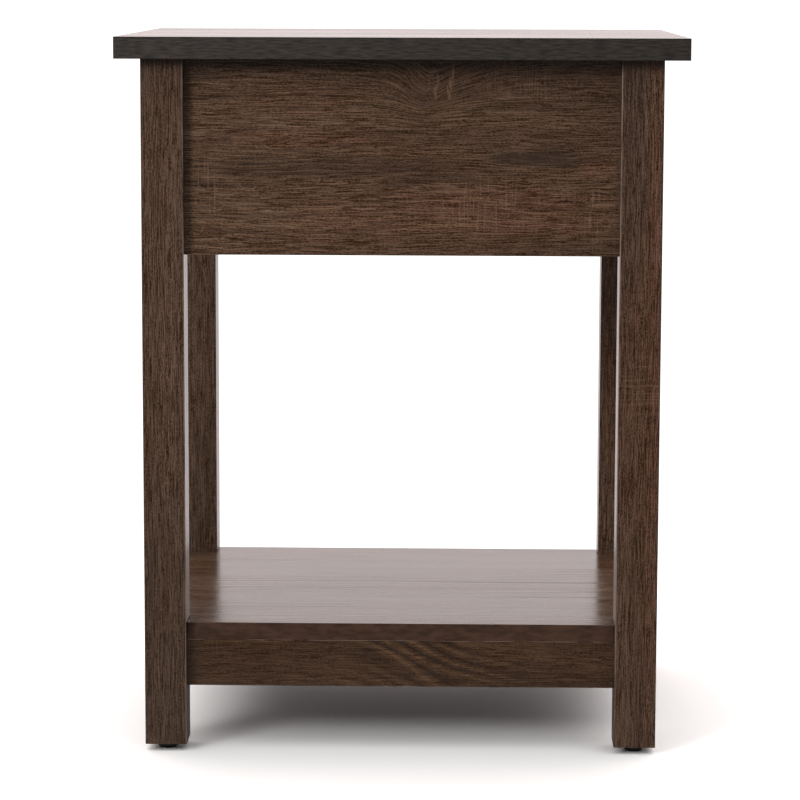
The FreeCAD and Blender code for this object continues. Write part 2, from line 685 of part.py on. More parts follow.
def build():
    """Every node by name."""
    case_dowels = case_dowel_spots()
    case_cams = case_cam_spots()
    case_holes = [dowel_hole(*spot) for spot in case_dowels]
    for spot in case_cams:
        case_holes += cam_holes(*spot)
    case_screws = case_runner_screw_spots()
    case_holes += [countersunk(*spot, RUNNER_SCREW, HOLE_FIT) for spot in case_screws]
    corners = [(sx, sy) for sx in SIDES.values() for sy in ENDS.values()]
    case_holes += [glide_nail(*corner, HOLE_FIT) for corner in corners]

    boards = {"top_board": top_board(), "back_panel": back_panel(), "shelf_board": shelf_board()}
    for end, sy in ENDS.items():
        boards[f"lower_rail_{end}"] = end_rail(sy)
    for side, sx in SIDES.items():
        boards[f"lower_rail_{side}"] = side_rail(sx)
        boards[f"side_panel_{side}"] = side_panel(sx)
        boards[f"case_runner_{side}"] = mirrored(case_runner(), sx)
        for end, sy in ENDS.items():
            boards[f"leg_{end}_{side}"] = leg(sx, sy)
    nodes = {name: cut_by(board, case_holes) for name, board in boards.items()}
    half_width = TOP_WIDTH / 2
    half_depth = TOP_DEPTH / 2
    top_sides = half_depth - BAND_THICKNESS
    nodes.update(banded_edges("top", half_width, half_depth, half_width, top_sides, (top_under, HEIGHT)))
    between_x = leg_inner_x - NOTCH_GAP
    between_y = leg_inner_y - NOTCH_GAP
    shelf_range = (shelf_under, shelf_top)
    nodes.update(banded_edges("shelf", panel_outer_x, panel_outer_y, between_x, between_y, shelf_range))
    nodes["foot_glides"] = Part.Compound([glide(*corner) for corner in corners])
    nodes["glide_nails"] = Part.Compound([glide_nail(*corner) for corner in corners])
    nodes["dowels"] = Part.Compound([dowel(*spot) for spot in case_dowels])
    nodes["cam_bolts"] = Part.Compound([cam_bolt(*spot[:2]) for spot in case_cams])
    nodes["cam_locks"] = Part.Compound([cam_lock(*spot) for spot in case_cams])
    nodes["case_runner_screws"] = Part.Compound([countersunk(*spot, RUNNER_SCREW) for spot in case_screws])

    drawer_dowels = drawer_dowel_spots()
    drawer_cams = drawer_cam_spots()
    screws = {
        "drawer_back_screws": (back_screw_spots(), BACK_SCREW),
        "drawer_bottom_screws": (bottom_screw_spots(), BOTTOM_SCREW),
        "drawer_runner_screws": (drawer_runner_screw_spots(), RUNNER_SCREW),
    }
    drawer_holes = [dowel_hole(*spot) for spot in drawer_dowels]
    for spot in drawer_cams:
        drawer_holes += cam_holes(*spot)
    for spots, sizes in screws.values():
        drawer_holes += [countersunk(*spot, sizes, HOLE_FIT) for spot in spots]
    box = {"drawer_front": drawer_front(), "drawer_back": drawer_back(), "drawer_bottom": drawer_bottom()}
    for side, sx in SIDES.items():
        box[f"drawer_side_{side}"] = drawer_side(sx)
        box[f"drawer_runner_{side}"] = mirrored(drawer_runner(), sx)
    nodes.update({name: cut_by(board, drawer_holes) for name, board in box.items()})
    nodes["drawer_dowels"] = Part.Compound([dowel(*spot) for spot in drawer_dowels])
    nodes["drawer_cam_bolts"] = Part.Compound([cam_bolt(*spot[:2]) for spot in drawer_cams])
    nodes["drawer_cam_locks"] = Part.Compound([cam_lock(*spot) for spot in drawer_cams])
    for name, (spots, sizes) in screws.items():
        nodes[name] = Part.Compound([countersunk(*spot, sizes) for spot in spots])
    nodes["drawer_knob"] = drawer_knob()
    nodes["knob_screw"] = knob_screw()

    case_pins = []
    drawer_pins = []
    for side, sx in SIDES.items():
        case_wheel = roller(web_inner_x - RUNNING_GAP - ROLLER_WIDTH, case_roller_y)
        drawer_wheel = roller(wall_outer_x + RUNNING_GAP, drawer_roller_y)
        nodes[f"case_roller_{side}"] = mirrored(case_wheel, sx)
        nodes[f"drawer_roller_{side}"] = mirrored(drawer_wheel, sx)
        case_pins.append(roller_pin(Vector(sx * leg_inner_x, case_roller_y, roller_height), X_AXIS * -sx))
        drawer_pins.append(roller_pin(Vector(sx * box_outer_x, drawer_roller_y, roller_height), X_AXIS * sx))
    nodes["case_roller_pins"] = Part.Compound(case_pins)
    nodes["drawer_roller_pins"] = Part.Compound(drawer_pins)
    return nodes


os.makedirs("parts", exist_ok=True)
for node_name, shape in build().items():
    shape.exportStep(f"parts/{node_name}.step")
print(f"drawer travel {travel:.1f} mm, roller turns {travel / roller_radius:.2f} rad")
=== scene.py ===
import bmesh
import bpy
import math
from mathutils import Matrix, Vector


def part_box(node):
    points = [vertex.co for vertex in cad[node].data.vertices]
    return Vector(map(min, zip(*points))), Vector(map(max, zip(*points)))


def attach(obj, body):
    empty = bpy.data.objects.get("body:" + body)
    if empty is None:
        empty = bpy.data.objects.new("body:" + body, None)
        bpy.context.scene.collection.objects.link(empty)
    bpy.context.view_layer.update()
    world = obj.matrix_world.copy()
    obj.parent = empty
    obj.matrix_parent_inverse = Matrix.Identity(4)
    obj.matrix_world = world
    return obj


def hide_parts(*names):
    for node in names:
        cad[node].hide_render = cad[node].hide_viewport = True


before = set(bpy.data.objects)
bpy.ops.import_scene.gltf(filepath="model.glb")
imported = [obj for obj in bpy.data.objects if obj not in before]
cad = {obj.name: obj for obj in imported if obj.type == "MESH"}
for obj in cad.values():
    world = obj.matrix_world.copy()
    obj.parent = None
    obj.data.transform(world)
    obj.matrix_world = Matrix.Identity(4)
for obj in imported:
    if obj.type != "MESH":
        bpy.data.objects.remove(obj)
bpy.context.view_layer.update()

# Legs
# Square posts of particle board wrapped in melamine paper with a dark walnut-oak print, satin to the touch.
# The grain runs up the post, with pale threads that stand out a little, and a pale painted highlight runs
# along the inner arrises. Panels and rails are fixed between the posts.


def feed(tree, socket, value):
    """Sets an input to a plain value, or links another socket to it."""
    if isinstance(value, bpy.types.NodeSocket):
        tree.links.new(value, socket)
    else:
        socket.default_value = value


def add(tree, kind, inputs=None, **settings):
    """A node of a tree with its properties, and its inputs as plain values or as sockets to link."""
    made = tree.nodes.new(kind)
    for name, value in settings.items():
        setattr(made, name, value)
    for name, value in (inputs or {}).items():
        feed(tree, made.inputs[name], value)
    return made


def calc(tree, operation, *values):
    """The result of one math node."""
    return add(tree, "ShaderNodeMath", dict(enumerate(values)), operation=operation).outputs[0]


def summed(tree, start, *terms):
    """A start value plus terms, each given as a value and its weight."""
    total = start
    for value, weight in terms:
        total = calc(tree, "MULTIPLY_ADD", value, weight, total)
    return total


def vector_calc(tree, operation, *values):
    """The vector that one vector math node gives."""
    return add(tree, "ShaderNodeVectorMath", dict(enumerate(values)), operation=operation).outputs[0]


def number_of(tree, operation, *vectors):
    """The number that one vector math node gives, such as a length or a dot product."""
    inputs = dict(enumerate(vectors))
    return add(tree, "ShaderNodeVectorMath", inputs, operation=operation).outputs["Value"]


def scaled(tree, vector, scale):
    """A vector times a number."""
    return add(tree, "ShaderNodeVectorMath", {0: vector, "Scale": scale}, operation="SCALE").outputs[0]


def vector_of(tree, **parts):
    """A vector from its X, Y and Z, 0 where none is given."""
    return add(tree, "ShaderNodeCombineXYZ", parts).outputs[0]


def parts_of(tree, vector):
    """The X, Y and Z of a vector."""
    return add(tree, "ShaderNodeSeparateXYZ", {0: vector}).outputs


def between(tree, value, start, end):
    """0 at start, 1 at end and a smooth step between them."""
    inputs = {"Value": value, "From Min": start, "From Max": end}
    return add(tree, "ShaderNodeMapRange", inputs, interpolation_type="SMOOTHSTEP").outputs[0]


def mixed(tree, share, first, second, blend_type="MIX"):
    """Two colours mixed by the second one's share."""
    inputs = {0: share, 6: first, 7: second}
    return add(tree, "ShaderNodeMix", inputs, data_type="RGBA", blend_type=blend_type).outputs[2]


def paint(red, green, blue):
    """Linear colour of a screen colour given from 0 to 255."""
    shares = [value / 255 for value in (red, green, blue)]
    linear = [share / 12.92 if share < 0.04045 else ((share + 0.055) / 1.055) ** 2.4 for share in shares]
    return linear + [1]


def noise(tree, vector, per_metre, detail, seed):
    """Outputs of noise with its own number of waves per metre on each axis."""
    spread = vector_calc(tree, "MULTIPLY_ADD", vector, per_metre, (seed, seed, seed))
    inputs = {"Vector": spread, "Scale": 1.0, "Detail": detail, "Roughness": 0.55}
    return add(tree, "ShaderNodeTexNoise", inputs).outputs


def waves(tree, vector, per_metre, detail=1.0, seed=0.0):
    """Noise from 0 to 1 about a mean of 0.5."""
    return noise(tree, vector, per_metre, detail, seed)[0]


def drift(tree, vector, per_metre):
    """A vector that wanders about zero, up to 0.5 each way."""
    middle = (0.5, 0.5, 0.5)
    return vector_calc(tree, "SUBTRACT", noise(tree, vector, per_metre, 1.0, 0.0)["Color"], middle)


def stripes(tree, steps):
    """A sine with one wave for each whole step."""
    return calc(tree, "SINE", calc(tree, "MULTIPLY", steps, 2 * math.pi))


WOOD_SHADES = ((0.36, paint(67, 48, 37)), (0.5, paint(75, 55, 43)), (0.64, paint(82, 61, 48)))
RED_WOOD = paint(93, 57, 43)
DARK_PRINT_AND_SHADE = paint(48, 36, 30)
LATE_WOOD = paint(38, 26, 20)
LATE_SHARE = 0.6
EARLY_WOOD = paint(104, 80, 63)
EARLY_SHARE = 0.5
SAWN_WOOD = paint(134, 104, 84)
FAINT_SHARE = 0.1
PORE_TINT = (0.3, 0.19, 0, 1)
THREAD_TINT = (1.7, 1.81, 2.1, 1)
RINGS_PER_METRE = (0, 190, 170)
RING_STRAY = 6.0
THREADS_PER_METRE = (0, 520, 520)
THREAD_STRAY = 3.0
FIGURE_SWAY = (0, 1, 1)
FINE_SWAY = (0, 0.7, 0.7)
FINE_RIPPLE = (0, 0.0018, 0.0018)
MEAN_GRAIN = 1.25


def ringed(tree, given, figure):
    """Shades, patches and growth rings: their colour, the shade as a number and the dark rings."""
    bands = waves(tree, figure, (1.5, 60, 60), detail=1.5)
    broad = waves(tree, figure, (2.5, 14, 14), seed=3.7)
    shading = summed(tree, 0.0, (broad, 0.4), (bands, 0.6))
    ramp = add(tree, "ShaderNodeValToRGB", {"Fac": shading})
    ramp.color_ramp.elements.new(0.5)
    for stop, (position, shade) in zip(ramp.color_ramp.elements, WOOD_SHADES):
        stop.position = position
        stop.color = shade
    warm = between(tree, waves(tree, given["Grain"], (5, 16, 16), detail=2.0, seed=8.1), 0.5, 0.72)
    red = calc(tree, "MAXIMUM", calc(tree, "MULTIPLY", warm, given["Warmth"]), given["Red"])
    colour = mixed(tree, red, ramp.outputs[0], RED_WOOD)
    colour = mixed(tree, given["Dark"], colour, DARK_PRINT_AND_SHADE)

    stray = waves(tree, figure, (5, 40, 40), seed=6.2)
    steps = summed(tree, number_of(tree, "DOT_PRODUCT", figure, RINGS_PER_METRE), (stray, RING_STRAY))
    rings = stripes(tree, calc(tree, "DIVIDE", steps, given["Ring Width"]))
    late = calc(tree, "MULTIPLY", between(tree, broad, 0.4, 0.6), given["Rings"])
    dark_rings = calc(tree, "MULTIPLY", between(tree, rings, 0.4, 1.0), late)
    light_rings = calc(tree, "MULTIPLY", between(tree, rings, -0.4, -1.0), late)
    colour = mixed(tree, calc(tree, "MULTIPLY", dark_rings, LATE_SHARE), colour, LATE_WOOD)
    colour = mixed(tree, calc(tree, "MULTIPLY", light_rings, EARLY_SHARE), colour, EARLY_WOOD)
    return colour, shading, dark_rings


def grained(tree, given, fine):
    """Fine grain: its tint, and its threads, fibres and strands. It is calmer in dark patches."""
    stray = waves(tree, fine, (25, 160, 160), seed=5.3)
    rows = summed(tree, number_of(tree, "DOT_PRODUCT", fine, THREADS_PER_METRE), (stray, THREAD_STRAY))
    dashes = between(tree, waves(tree, fine, (60, 520, 520), detail=0.0, seed=1.9), 0.38, 0.62)
    threads = calc(tree, "MULTIPLY", between(tree, stripes(tree, rows), 0.1, 1.0), dashes)
    strands = waves(tree, fine, (30, 1300, 1300), detail=0.0, seed=9.4)
    fibres = waves(tree, fine, (110, 1150, 1150), detail=0.0)
    grit = waves(tree, fine, (560, 1300, 1300), detail=0.0, seed=2.8)
    grain = summed(tree, -MEAN_GRAIN, (grit, 0.95), (threads, 0.42), (strands, 1.05), (fibres, 0.35))
    calm = calc(tree, "SUBTRACT", 1.0, calc(tree, "POWER", given["Dark"], 2.0))
    share = calc(tree, "MULTIPLY_ADD", grain, calc(tree, "MULTIPLY", given["Fine"], calm), 0.5)
    return mixed(tree, share, PORE_TINT, THREAD_TINT), threads, fibres, strands


def sawn(tree, given):
    """Share of the pale sawn colour: tooth marks across the grain in patches, and flecks."""
    teeth = between(tree, waves(tree, given["Grain"], (760, 36, 36), detail=0.0, seed=7.7), 0.56, 0.72)
    faint = between(tree, waves(tree, given["Grain"], (9, 18, 18), seed=4.4), 0.6, 0.72)
    patches = calc(tree, "MAXIMUM", calc(tree, "MULTIPLY", faint, FAINT_SHARE), given["Saw Marks"])
    return calc(tree, "MAXIMUM", calc(tree, "MULTIPLY", teeth, patches), given["Pale"])


def walnut_print():
    """Printed wood along X: growth rings, dark and red patches, fine threads and grit, and saw marks."""
    tree = bpy.data.node_groups.new("walnut_print", "ShaderNodeTree")
    numbers = ("Swirl", "Rings", "Ring Width", "Fine", "Warmth", "Matt", "Dark", "Red", "Saw Marks", "Pale")
    for side, kind, names in (("INPUT", "NodeSocketVector", ("Grain", "Figure")),
                              ("INPUT", "NodeSocketFloat", numbers),
                              ("INPUT", "NodeSocketColor", ("Tone",)),
                              ("OUTPUT", "NodeSocketColor", ("Colour",)),
                              ("OUTPUT", "NodeSocketFloat", ("Roughness", "Relief"))):
        for name in names:
            tree.interface.new_socket(name, in_out=side, socket_type=kind)
    given = add(tree, "NodeGroupInput").outputs

    sway = scaled(tree, drift(tree, given["Grain"], (6, 15, 15)), given["Swirl"])
    ripple = drift(tree, given["Grain"], (45, 110, 110))
    figure = vector_calc(tree, "MULTIPLY_ADD", sway, FIGURE_SWAY, given["Figure"])
    fine = vector_calc(tree, "MULTIPLY_ADD", sway, FINE_SWAY, given["Grain"])
    fine = vector_calc(tree, "MULTIPLY_ADD", ripple, FINE_RIPPLE, fine)
    colour, shading, dark_rings = ringed(tree, given, figure)
    tint, threads, fibres, strands = grained(tree, given, fine)
    for layer in (tint, given["Tone"]):
        colour = mixed(tree, 1.0, colour, layer, "MULTIPLY")
    colour = mixed(tree, sawn(tree, given), colour, SAWN_WOOD)
    rough = summed(tree, given["Matt"], (fibres, 0.1), (threads, -0.06), (dark_rings, 0.1), (shading, 0.24))
    relief = summed(tree, strands, (fibres, 0.5), (threads, 0.5))
    add(tree, "NodeGroupOutput", {"Colour": colour, "Roughness": rough, "Relief": relief})
    return tree


PRINT = walnut_print()
LACQUER_IOR = 1.36
GRAIN_RELIEF = 0.00002
SHEET = {"Swirl": 0.015, "Rings": 0.5, "Ring Width": 1.0, "Fine": 1.3, "Warmth": 0.2, "Matt": 0.05,
         "Tone": (1, 1, 0.88, 1)}
ALONG_X = (0, 0, 0)
ALONG_Y = (0, 0, math.radians(90))
ALONG_Z = (0, math.radians(90), 0)
PATCH_BEND = (0.006, 0, 0.006)
PATCH_EDGE = (1.9, 0.9)


def finish(name):
    """A new material, its node tree, its shader and the place on the object."""
    material = bpy.data.materials.new(name)
    material.use_nodes = True
    tree = material.node_tree
    tree.nodes.clear()
    shader = add(tree, "ShaderNodeBsdfPrincipled")
    add(tree, "ShaderNodeOutputMaterial", {"Surface": shader.outputs[0]})
    return material, tree, shader, add(tree, "ShaderNodeTexCoord").outputs["Object"]


def coat(tree, shader, colour, roughness, relief, depth):
    """Links a finish to its shader, with the depth of its relief in metres."""
    tree.links.new(colour, shader.inputs["Base Color"])
    tree.links.new(roughness, shader.inputs["Roughness"])
    bump = add(tree, "ShaderNodeBump", {"Height": relief, "Distance": depth, "Strength": 1.0})
    tree.links.new(bump.outputs[0], shader.inputs["Normal"])


def spots(tree, place, where):
    """Patches with ragged edges on an upright face: X, Z, half width, half height and strength of each."""
    rag = waves(tree, place, (45, 45, 130), detail=2.0)
    place = vector_calc(tree, "MULTIPLY_ADD", drift(tree, place, (60, 60, 60)), PATCH_BEND, place)
    total = 0.0
    for x, z, half_width, half_height, strength in where:
        away = vector_calc(tree, "SUBTRACT", place, (x, 0, z))
        away = vector_calc(tree, "MULTIPLY", away, (1 / half_width, 0, 1 / half_height))
        ragged = calc(tree, "ADD", number_of(tree, "LENGTH", away), rag)
        spot = between(tree, ragged, *PATCH_EDGE)
        total = calc(tree, "MAXIMUM", total, calc(tree, "MULTIPLY", spot, strength))
    return total


def round_knots(tree, place, knots):
    """Lets an upright face's grain dip round knots: X, Z, reach and depth of each dip."""
    for x, z, reach, dip in knots:
        away = vector_calc(tree, "MULTIPLY", vector_calc(tree, "SUBTRACT", place, (x, 0, z)), (1, 0, 1))
        far = calc(tree, "POWER", calc(tree, "DIVIDE", number_of(tree, "LENGTH", away), reach), 2.0)
        fall = calc(tree, "MULTIPLY", calc(tree, "EXPONENT", calc(tree, "MULTIPLY", far, -1.0)), dip)
        place = vector_calc(tree, "ADD", place, vector_of(tree, Z=fall))
    return place


def sweep(tree, place, drops):
    """Lets an upright face's figure fall: start and end X at floor level, height and lean of each fall."""
    for start, end, height, lean in drops:
        along = number_of(tree, "DOT_PRODUCT", place, (1, 0, lean))
        fall = calc(tree, "MULTIPLY", between(tree, along, start, end), height)
        place = vector_calc(tree, "ADD", place, vector_of(tree, Z=fall))
    return place


def laminate(name, turn, move, sheet, knots=(), drops=(), relief_depth=GRAIN_RELIEF, stretch=(1, 1, 1),
             **patches):
    """The walnut print, turned to a board's grain and moved so that boards don't repeat each other."""
    material, tree, shader, place = finish(name)
    shader.inputs["IOR"].default_value = LACQUER_IOR
    flow = round_knots(tree, place, knots)
    printed = add(tree, "ShaderNodeGroup", SHEET | sheet, node_tree=PRINT)
    board = {"Rotation": turn, "Location": move, "Scale": stretch}
    for socket, way in (("Figure", sweep(tree, flow, drops)), ("Grain", flow)):
        laid = add(tree, "ShaderNodeMapping", board | {"Vector": way}).outputs[0]
        tree.links.new(laid, printed.inputs[socket])
    for socket, where in patches.items():
        tree.links.new(spots(tree, place, where), printed.inputs[socket.replace("_", " ").title()])
    colour, roughness, relief = printed.outputs
    coat(tree, shader, colour, roughness, relief, relief_depth)
    return material


def dress(material, *names):
    """Gives CAD nodes their finish."""
    for name in names:
        cad[name].data.materials.clear()
        cad[name].data.materials.append(material)


POST_SHEET = {"Swirl": 0.006, "Rings": 0.15, "Fine": 1.35, "Warmth": 0.05, "Matt": 0.12,
              "Tone": (0.965, 0.985, 0.91, 1)}
# Dark patches on the posts: low down at +X it is painted shade, where less light reaches near the floor;
# high up at -X it is a darker print.
POST_SHADE = [(0.198, 0.09, 0.05, 0.16, 0.3), (-0.188, 0.52, 0.014, 0.14, 0.3)]
RED_STREAK = [(-0.208, 0.3, 0.009, 0.32, 0.4), (-0.198, 0.3, 0.02, 0.12, 0.3)]
POST_SAW_MARKS = [(-0.198, 0.315, 0.02, 0.03, 0.2)]
# Colour, width and share of the painted highlight along the posts' inner arrises.
PAINTED_ARRIS_HIGHLIGHT = paint(146, 126, 114)
ARRIS_HIGHLIGHT_WIDTH = 0.0011
ARRIS_HIGHLIGHT_SHARE = 0.6


def highlighted_arrises(tree, inside, outside):
    """1 on the painted highlight along the upright arrises of the posts, nearest the middle of the front
    and the back.
    """
    place = add(tree, "ShaderNodeTexCoord").outputs["Object"]
    across = parts_of(tree, vector_calc(tree, "ABSOLUTE", place))
    near_side = between(tree, across["X"], inside + ARRIS_HIGHLIGHT_WIDTH, inside + ARRIS_HIGHLIGHT_WIDTH / 2)
    near_face = between(tree, across["Y"], outside - ARRIS_HIGHLIGHT_WIDTH, outside - ARRIS_HIGHLIGHT_WIDTH / 2)
    highlight_breaks = between(tree, waves(tree, place, (20, 20, 20), detail=3.0, seed=1.2), 0.3, 0.55)
    return calc(tree, "MULTIPLY", calc(tree, "MULTIPLY", near_side, near_face), highlight_breaks)


upright = laminate("walnut_upright", ALONG_Z, move=(0.31, 0.12, 0.4), sheet=POST_SHEET, dark=POST_SHADE,
                   red=RED_STREAK, saw_marks=POST_SAW_MARKS)
tree = upright.node_tree
low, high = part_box("leg_back_right")
# Painted highlight: a pale line mixed into the posts' colour along their inner arrises.
share = calc(tree, "MULTIPLY", highlighted_arrises(tree, low.x, high.y), ARRIS_HIGHLIGHT_SHARE)
base = tree.nodes["Principled BSDF"].inputs["Base Color"]
tree.links.new(mixed(tree, share, base.links[0].from_socket, PAINTED_ARRIS_HIGHLIGHT), base)
sides = ("left", "right")
dress(upright, *[f"leg_{end}_{side}" for end in ("front", "back") for side in sides])

# Foot glides
# Black moulded plastic discs under the legs, hollow below for the head of a plated steel nail.
# The nail is driven up into the end of the leg and keeps the disc from turning.


def moulded(name, colour, worn, roughness):
    """Moulded plastic: a faint mottle and the fine grain of the mould."""
    material, tree, shader, place = finish(name)
    mottle = waves(tree, place, (90, 90, 90), detail=2.0)
    skin = waves(tree, place, (2500, 2500, 2500), detail=2.0)
    shade = mixed(tree, between(tree, mottle, 0.35, 0.7), colour, worn)
    coat(tree, shader, shade, summed(tree, roughness, (mottle, 0.16)), skin, depth=0.00003)
    return material


def plated(name, colour, dull, roughness, marks_per_metre):
    """Bare or plated metal with cloudy tarnish and fine tool marks."""
    material, tree, shader, place = finish(name)
    shader.inputs["Metallic"].default_value = 1.0
    cloud = waves(tree, place, (160, 160, 160), detail=3.0)
    marks = waves(tree, place, marks_per_metre, detail=2.0)
    shade = mixed(tree, between(tree, cloud, 0.35, 0.7), colour, dull)
    coat(tree, shader, shade, summed(tree, roughness, (cloud, 0.2)), marks, depth=0.00002)
    return material


black_plastic = moulded("glide_plastic", paint(18, 17, 17), paint(32, 30, 29), roughness=0.38)
dress(black_plastic, "foot_glides")
bright_steel = plated("zinc_plated_steel", paint(206, 203, 194), paint(168, 166, 160), roughness=0.24,
                      marks_per_metre=(3000, 3000, 600))
dress(bright_steel, "glide_nails")

# Lower rails
# Particle-board rails under the shelf, in the same print as the legs, with the grain along each rail.
# They stand on edge between the legs, fixed with dowels and cams.

# The rails' Tone darkens and warms their print: painted shade, as they stand low under the shelf.
RAIL_SHEET = {"Swirl": 0.006, "Rings": 1.3, "Ring Width": 1.6, "Fine": 0.95, "Warmth": 0.1,
              "Tone": (0.77, 0.71, 0.55, 1)}
RAIL_DROPS = [(0.1, -0.01, 0.026, 0.6), (0.06, -0.13, 0.03, 0.5)]
rail_finish = laminate("walnut_rail", ALONG_X, move=(0.62, 0.2, 0.096), sheet=RAIL_SHEET, drops=RAIL_DROPS)
dress(rail_finish, "lower_rail_front", "lower_rail_back")
side_rail_finish = laminate("walnut_side_rail", ALONG_Y, move=(0.2, 0.44, 0.3), sheet=RAIL_SHEET)
dress(side_rail_finish, "lower_rail_left", "lower_rail_right")

# Shelf
# A printed board notched round the legs, smooth enough to mirror what stands behind it at a low angle.
# Its edges have a thin smooth brown band, rubbed pale along the lower arris. It lies on the rails.


def edge_band(name, dark, light, streaks_per_metre, arris, arris_colour, roughness):
    """Plastic edge band with streaks along it and a broken line at one arris, given by its two heights."""
    material, tree, shader, place = finish(name)
    shader.inputs["IOR"].default_value = LACQUER_IOR
    streak = waves(tree, place, (90, 90, streaks_per_metre), detail=3.0)
    shade = mixed(tree, between(tree, streak, 0.34, 0.66), dark, light)
    broken = between(tree, waves(tree, place, (38, 38, 38), detail=3.0, seed=2.6), 0.42, 0.56)
    line = calc(tree, "MULTIPLY", between(tree, parts_of(tree, place)["Z"], *arris), broken)
    shade = mixed(tree, line, shade, arris_colour)
    coat(tree, shader, shade, summed(tree, roughness, (streak, 0.12)), streak, depth=0.00002)
    return material


SHELF_SHEET = {"Swirl": 0.005, "Rings": 1.1, "Fine": 1.3, "Matt": 0.03}
SHELF_ARRIS = (0.0006, 0.0002)
shelf_finish = laminate("walnut_shelf", ALONG_X, move=(0.4, 0.33, 0.71), sheet=SHELF_SHEET,
                        relief_depth=0.3 * GRAIN_RELIEF, stretch=(0.35, 1, 1))
dress(shelf_finish, "shelf_board")
shelf_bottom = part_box("shelf_band_back")[0].z
brown_band = edge_band("brown_edge_band", paint(54, 36, 26), paint(72, 50, 38), streaks_per_metre=260,
                       arris=[shelf_bottom + rise for rise in SHELF_ARRIS],
                       arris_colour=paint(150, 132, 116), roughness=0.3)
edges = ("front", "back", "left", "right")
dress(brown_band, *[f"shelf_band_{edge}" for edge in edges])

# Side panels
# Boards between the front and back legs that close the drawer's sides and carry its runners.
# They are in the same print, with the grain from front to back, and fixed with dowels and cams.

side_finish = laminate("walnut_side_panel", ALONG_Y, move=(0.3, 0.52, 0.23), sheet={})
dress(side_finish, *[f"side_panel_{side}" for side in sides])

# Back panel
# The wide plain board under the top, fixed between the back legs with dowels and cams. It is printed with
# one knot at its upper edge, whose grain curls round it, reddish areas low down and faint saw marks
# across the grain.

PANEL_SHEET = {"Swirl": 0.012, "Warmth": 0.12, "Rings": 0.45}
PANEL_KNOTS = [(-0.018, 0.556, 0.018, 0.011), (-0.035, 0.578, 0.032, 0.016)]
DARK_PATCHES = [(0.06, 0.492, 0.13, 0.011, 0.5), (-0.01, 0.486, 0.08, 0.009, 0.4),
                (-0.115, 0.5, 0.05, 0.007, 0.75), (-0.09, 0.545, 0.14, 0.032, 0.2),
                (-0.13, 0.426, 0.06, 0.008, 0.25)]
RED_PATCHES = [(-0.075, 0.458, 0.1, 0.024, 0.34), (0.025, 0.45, 0.075, 0.02, 0.26),
               (0.082, 0.545, 0.05, 0.014, 0.18), (0.083, 0.517, 0.07, 0.009, 0.24),
               (0.085, 0.437, 0.04, 0.008, 0.2), (-0.16, 0.494, 0.018, 0.01, 0.28)]
SAW_PATCHES = [(-0.069, 0.46, 0.036, 0.024, 0.3), (0.16, 0.4775, 0.014, 0.024, 0.3),
               (-0.162, 0.454, 0.012, 0.027, 0.25), (-0.105, 0.564, 0.036, 0.02, 0.22)]
PALE_FLECKS = [(-0.0295, 0.565, 0.001, 0.007, 0.2), (-0.0278, 0.555, 0.001, 0.006, 0.3),
               (-0.0425, 0.57, 0.001, 0.008, 0.35), (-0.0405, 0.5625, 0.001, 0.007, 0.35),
               (-0.0382, 0.5545, 0.001, 0.006, 0.3)]
panel_finish = laminate("walnut_back_panel", ALONG_X, move=(0.1, 0.2, 0.3), sheet=PANEL_SHEET,
                        knots=PANEL_KNOTS, dark=DARK_PATCHES, red=RED_PATCHES, saw_marks=SAW_PATCHES,
                        pale=PALE_FLECKS)
dress(panel_finish, "back_panel")

# Top
# The largest board, overhanging on all sides, with a charcoal plastic band on its four edges.
# The band is finely streaked along its length, with a nearly black line painted along its top arris.

TOP_ARRIS = (0.0014, 0.0006)
top_finish = laminate("walnut_top", ALONG_X, move=(0.8, 0.61, 0.05), sheet={},
                      relief_depth=0.5 * GRAIN_RELIEF)
dress(top_finish, "top_board")
top_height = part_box("top_band_back")[1].z
charcoal_band = edge_band("charcoal_edge_band", paint(30, 26, 23), paint(54, 47, 42), streaks_per_metre=900,
                          arris=[top_height - fall for fall in TOP_ARRIS],
                          arris_colour=paint(16, 14, 13), roughness=0.34)
dress(charcoal_band, *[f"top_band_{edge}" for edge in edges])

# Dowels
# Beech pegs 8 mm thick with pressed flutes and chamfered ends.
# Each is glued half into one board and half into the next.

MERGE_DISTANCE = 0.000001
FULL_TURN = 6.283


def solids_of(name):
    """The separate solids of a CAD node, each as its lowest and highest corner."""
    mesh = bmesh.new()
    mesh.from_mesh(cad[name].data)
    bmesh.ops.remove_doubles(mesh, verts=mesh.verts, dist=MERGE_DISTANCE)
    waiting = set(mesh.verts)
    found = []
    while waiting:
        reached = [waiting.pop()]
        for vert in reached:
            for edge in vert.link_edges:
                other = edge.other_vert(vert)
                if other in waiting:
                    waiting.remove(other)
                    reached.append(other)
        places = list(zip(*[vert.co for vert in reached]))
        found.append([Vector([end(values) for values in places]) for end in (min, max)])
    mesh.free()
    return sorted(found, key=lambda ends: [round(value, 5) for value in ends[0]])


def stations(name, choose, outward):
    """Middle, axis and length of each solid. The axis goes outward or up, or the reverse with -1."""
    found = []
    for low, high in solids_of(name):
        size = high - low
        index = list(size).index(choose(size))
        middle = (low + high) / 2
        axis = Vector((0, 0, 0))
        axis[index] = outward * (1 if index == 2 or middle[index] > 0 else -1)
        found.append((middle, axis, size[index]))
    return found


def any_side(axis):
    """A direction square to an axis."""
    return Vector((axis.y, axis.z, axis.x))


